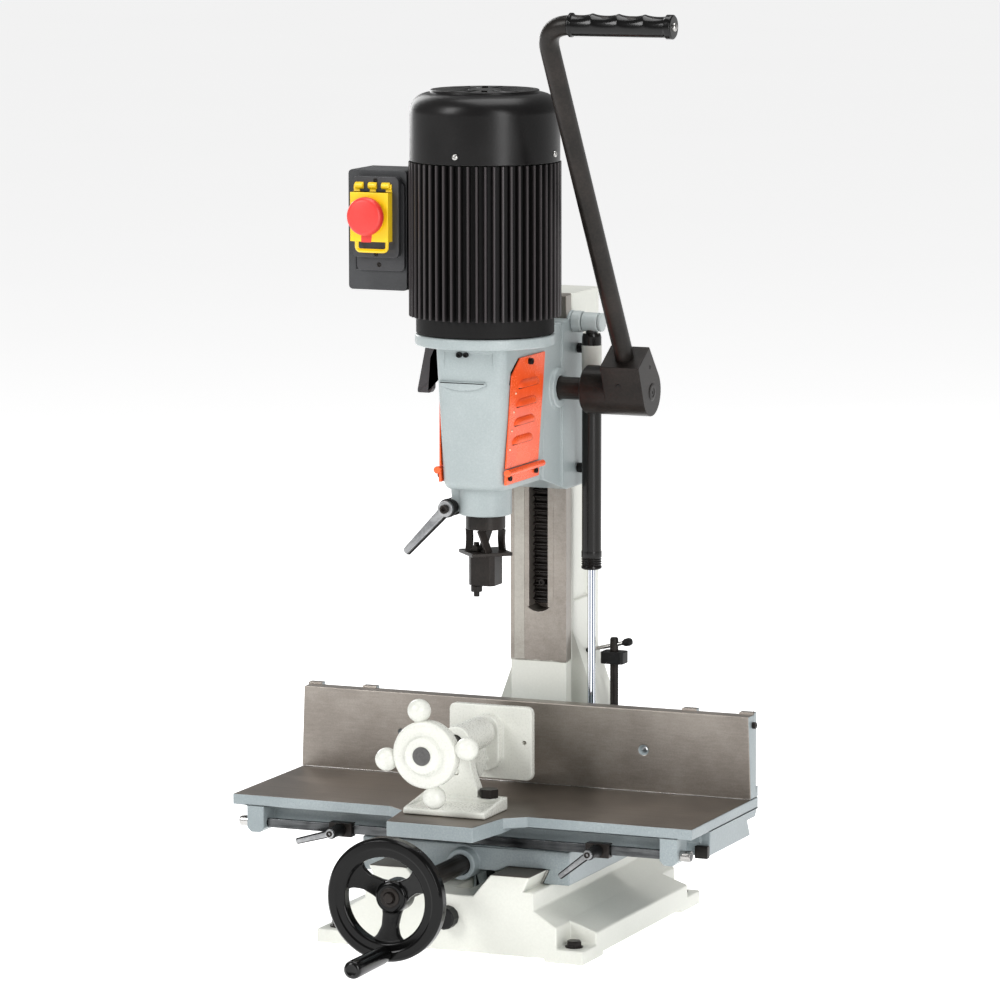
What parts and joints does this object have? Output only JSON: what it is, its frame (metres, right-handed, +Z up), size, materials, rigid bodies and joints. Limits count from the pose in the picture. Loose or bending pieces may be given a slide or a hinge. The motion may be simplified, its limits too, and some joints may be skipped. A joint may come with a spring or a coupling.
{
  "type": "benchtop mortiser",
  "caption": "Benchtop hollow-chisel mortiser with a lever-fed motor head on a column, a sliding table with fence and vice, and a handwheel.",
  "frame": {"origin": "on the bench under the middle of the base, on the base's centre pad", "axes": "+Z up, -Y to the operator at the front, +X to the feed lever's side"},
  "size_m": [0.504, 0.5771, 0.9437],
  "materials": {
    "base_casting": "gloss off-white paint",
    "cable_gland": "black moulded",
    "chisel_clamp_lever": "satin zinc",
    "chisel_holder": "black oxide",
    "chuck_door_left": "orange paint",
    "chuck_door_right": "orange paint",
    "column": "off-white paint, machined ways",
    "cooling_fan": "black moulded",
    "cross_feed_screw": "black oxide",
    "depth_stop_collar": "black paint",
    "depth_stop_screw": "black oxide",
    "door_hinge_leaf_left": "orange paint",
    "door_hinge_leaf_right": "orange paint",
    "door_latch_screw_left": "black oxide",
    "door_latch_screw_right": "black oxide",
    "drill_chuck": "bright steel",
    "fan_cover": "satin black paint",
    "feed_pinion_shaft": "black oxide",
    "feed_rack": "black oxide",
    "fence": "machined iron",
    "gas_strut_barrel": "gloss black paint",
    "gas_strut_pin": "black oxide",
    "gas_strut_rod": "hard chrome",
    "gib_lock_knob_lower": "black moulded",
    "gib_lock_knob_upper": "black moulded",
    "handwheel": "black moulded",
    "handwheel_grip": "black moulded",
    "handwheel_shaft": "black oxide",
    "head_casting": "hammered grey paint",
    "head_gib": "bright steel",
    "head_lock_lever": "black moulded",
    "hold_down_bolt_front_left": "black oxide",
    "hold_down_bolt_front_right": "black oxide",
    "hold_down_bolt_rear_left": "black oxide",
    "hold_down_bolt_rear_right": "black oxide",
    "lever_bar": "black oxide",
    "lever_grip": "black moulded",
    "lever_hub": "black oxide",
    "motor_housing": "satin black paint",
    "motor_rotor": "bright steel",
    "saddle_casting": "hammered grey paint",
    "saddle_gib": "bright steel",
    "start_button": "green moulded",
    "stop_button": "red moulded",
    "stop_rail": "bright steel",
    "switch_box": "black moulded",
    "switch_cover": "yellow moulded",
    "switch_plate": "black moulded",
    "table_casting": "machined top, hammered grey paint below",
    "table_gib": "bright steel",
    "table_rack": "bright steel",
    "table_stop_left": "black paint",
    "table_stop_lever_left": "satin zinc",
    "table_stop_lever_right": "satin zinc",
    "table_stop_right": "black paint",
    "vice_casting": "gloss off-white paint",
    "vice_handwheel": "gloss off-white paint",
    "vice_hold_down_bolt": "black oxide",
    "vice_jaw": "gloss off-white paint",
    "vice_screw": "black oxide"
  },
  "bodies": {
    "frame": {"base_casting": "base_casting", "column": "column", "feed_rack": "feed_rack", "gas_strut_rod": "gas_strut_rod", "hold_down_bolt_front_left": "hold_down_bolt_front_left", "hold_down_bolt_front_right": "hold_down_bolt_front_right", "hold_down_bolt_rear_left": "hold_down_bolt_rear_left", "hold_down_bolt_rear_right": "hold_down_bolt_rear_right"},
    "cross_feed": {"cross_feed_screw": "cross_feed_screw"},
    "depth_screw": {"depth_stop_screw": "depth_stop_screw"},
    "depth_collar": {"depth_stop_collar": "depth_stop_collar"},
    "saddle": {"saddle_casting": "saddle_casting", "saddle_gib": "saddle_gib"},
    "wheel": {"handwheel_shaft": "handwheel_shaft", "handwheel": "handwheel"},
    "wheel_grip": {"handwheel_grip": "handwheel_grip"},
    "table": {"table_casting": "table_casting", "table_gib": "table_gib", "table_rack": "table_rack", "fence": "fence", "stop_rail": "stop_rail", "vice_casting": "vice_casting", "vice_hold_down_bolt": "vice_hold_down_bolt"},
    "stop_left": {"table_stop_left": "table_stop_left"},
    "stop_right": {"table_stop_right": "table_stop_right"},
    "stop_lever_left": {"table_stop_lever_left": "table_stop_lever_left"},
    "stop_lever_right": {"table_stop_lever_right": "table_stop_lever_right"},
    "jaw": {"vice_jaw": "vice_jaw"},
    "vice_spindle": {"vice_screw": "vice_screw", "vice_handwheel": "vice_handwheel"},
    "head": {"head_casting": "head_casting", "head_gib": "head_gib", "gas_strut_barrel": "gas_strut_barrel", "gas_strut_pin": "gas_strut_pin", "motor_housing": "motor_housing", "fan_cover": "fan_cover", "door_hinge_leaf_left": "door_hinge_leaf_left", "door_hinge_leaf_right": "door_hinge_leaf_right", "chisel_holder": "chisel_holder", "switch_box": "switch_box", "switch_plate": "switch_plate", "cable_gland": "cable_gland"},
    "gib_knob_upper": {"gib_lock_knob_upper": "gib_lock_knob_upper"},
    "gib_knob_lower": {"gib_lock_knob_lower": "gib_lock_knob_lower"},
    "head_lock": {"head_lock_lever": "head_lock_lever"},
    "feed_lever": {"feed_pinion_shaft": "feed_pinion_shaft", "lever_hub": "lever_hub", "lever_bar": "lever_bar", "lever_grip": "lever_grip"},
    "door_left": {"chuck_door_left": "chuck_door_left", "door_latch_screw_left": "door_latch_screw_left"},
    "door_right": {"chuck_door_right": "chuck_door_right", "door_latch_screw_right": "door_latch_screw_right"},
    "chisel_clamp": {"chisel_clamp_lever": "chisel_clamp_lever"},
    "spindle": {"motor_rotor": "motor_rotor", "cooling_fan": "cooling_fan", "drill_chuck": "drill_chuck"},
    "switch_flap": {"switch_cover": "switch_cover"},
    "stop_push": {"stop_button": "stop_button"},
    "start_push": {"start_button": "start_button"}
  },
  "joints": [
    {"name": "head_travel", "type": "slide", "parent": "frame", "child": "head", "axis": [0, 0, 1], "range_m": [-0.084, 0]},
    {"name": "feed_lever_turn", "type": "hinge", "parent": "head", "child": "feed_lever", "pos_m": [0, 0.03338, 0.5503], "axis": [1, 0, 0], "range_deg": [0, 95.2]},
    {"name": "spindle_turn", "type": "hinge", "parent": "head", "child": "spindle", "pos_m": [0, -0.0662, 0.6], "axis": [0, 0, 1], "continuous": true},
    {"name": "door_left_swing", "type": "hinge", "parent": "head", "child": "door_left", "pos_m": [-0.03812, -0.057, 0.4785], "axis": [0, -1, 0], "range_deg": [0, 90]},
    {"name": "door_right_swing", "type": "hinge", "parent": "head", "child": "door_right", "pos_m": [0.03812, -0.057, 0.4785], "axis": [0, 1, 0], "range_deg": [0, 28]},
    {"name": "head_lock_turn", "type": "hinge", "parent": "head", "child": "head_lock", "pos_m": [-0.045, 0.02, 0.592], "axis": [1, 0, 0], "range_deg": [0, 60]},
    {"name": "chisel_clamp_turn", "type": "hinge", "parent": "head", "child": "chisel_clamp", "pos_m": [-0.0325, -0.0935, 0.4385], "axis": [0, 1, 0], "range_deg": [-15, 50]},
    {"name": "gib_knob_upper_turn", "type": "hinge", "parent": "head", "child": "gib_knob_upper", "pos_m": [0.038, 0.087, 0.5855], "axis": [1, 0, 0], "range_deg": [0, 180]},
    {"name": "gib_knob_lower_turn", "type": "hinge", "parent": "head", "child": "gib_knob_lower", "pos_m": [0.038, 0.087, 0.462], "axis": [1, 0, 0], "range_deg": [0, 180]},
    {"name": "switch_flap_lift", "type": "hinge", "parent": "head", "child": "switch_flap", "pos_m": [-0.10475, -0.1031, 0.7605], "axis": [-1, 0, 0], "range_deg": [0, 95]},
    {"name": "stop_button_push", "type": "slide", "parent": "switch_flap", "child": "stop_push", "axis": [0, 1, 0], "range_m": [0, 0.004], "stiffness_N_per_m": 300},
    {"name": "start_button_push", "type": "slide", "parent": "head", "child": "start_push", "axis": [0, 1, 0], "range_m": [0, 0.0025], "stiffness_N_per_m": 300},
    {"name": "saddle_travel", "type": "slide", "parent": "frame", "child": "saddle", "axis": [0, 1, 0], "range_m": [-0.042, 0.012]},
    {"name": "cross_feed_turn", "type": "hinge", "parent": "frame", "child": "cross_feed", "pos_m": [0, -0.163, 0.0383], "axis": [0, 1, 0], "range_deg": [-3025, 865]},
    {"name": "table_travel", "type": "slide", "parent": "saddle", "child": "table", "axis": [1, 0, 0], "range_m": [-0.075, 0.075]},
    {"name": "handwheel_turn", "type": "hinge", "parent": "saddle", "child": "wheel", "pos_m": [0, -0.305, 0.085], "axis": [0, 1, 0], "range_deg": [-307, 307]},
    {"name": "handwheel_grip_spin", "type": "hinge", "parent": "wheel", "child": "wheel_grip", "pos_m": [0, -0.3219, 0.0315], "axis": [0, 1, 0], "continuous": true},
    {"name": "stop_left_slide", "type": "slide", "parent": "table", "child": "stop_left", "axis": [1, 0, 0], "range_m": [-0.06, 0.06]},
    {"name": "stop_right_slide", "type": "slide", "parent": "table", "child": "stop_right", "axis": [1, 0, 0], "range_m": [-0.015, 0.05]},
    {"name": "stop_lever_left_turn", "type": "hinge", "parent": "stop_left", "child": "stop_lever_left", "pos_m": [-0.132, -0.1338, 0.1111], "axis": [0, 1, 0], "range_deg": [-20, 10]},
    {"name": "stop_lever_right_turn", "type": "hinge", "parent": "stop_right", "child": "stop_lever_right", "pos_m": [0.148, -0.1338, 0.1111], "axis": [0, 1, 0], "range_deg": [0, 35]},
    {"name": "jaw_travel", "type": "slide", "parent": "table", "child": "jaw", "axis": [0, 1, 0], "range_m": [0, 0.052]},
    {"name": "vice_wheel_turn", "type": "hinge", "parent": "jaw", "child": "vice_spindle", "pos_m": [-0.008, -0.197, 0.208], "axis": [0, 1, 0], "range_deg": [0, 3745]},
    {"name": "depth_screw_turn", "type": "hinge", "parent": "frame", "child": "depth_screw", "pos_m": [0.066, 0.118, 0.274], "axis": [0, 0, 1], "continuous": true},
    {"name": "depth_collar_slide", "type": "slide", "parent": "frame", "child": "depth_collar", "axis": [0, 0, 1], "range_m": [-0.036, 0]}
  ],
  "couplings": [
    {"joint": "feed_lever_turn", "follows": "head_travel", "rad_per_m": -19.753},
    {"joint": "handwheel_turn", "follows": "table_travel", "rad_per_m": 71.429},
    {"joint": "cross_feed_turn", "follows": "saddle_travel", "rad_per_m": 1256.6},
    {"joint": "vice_wheel_turn", "follows": "jaw_travel", "rad_per_m": 1256.6}
  ]
}
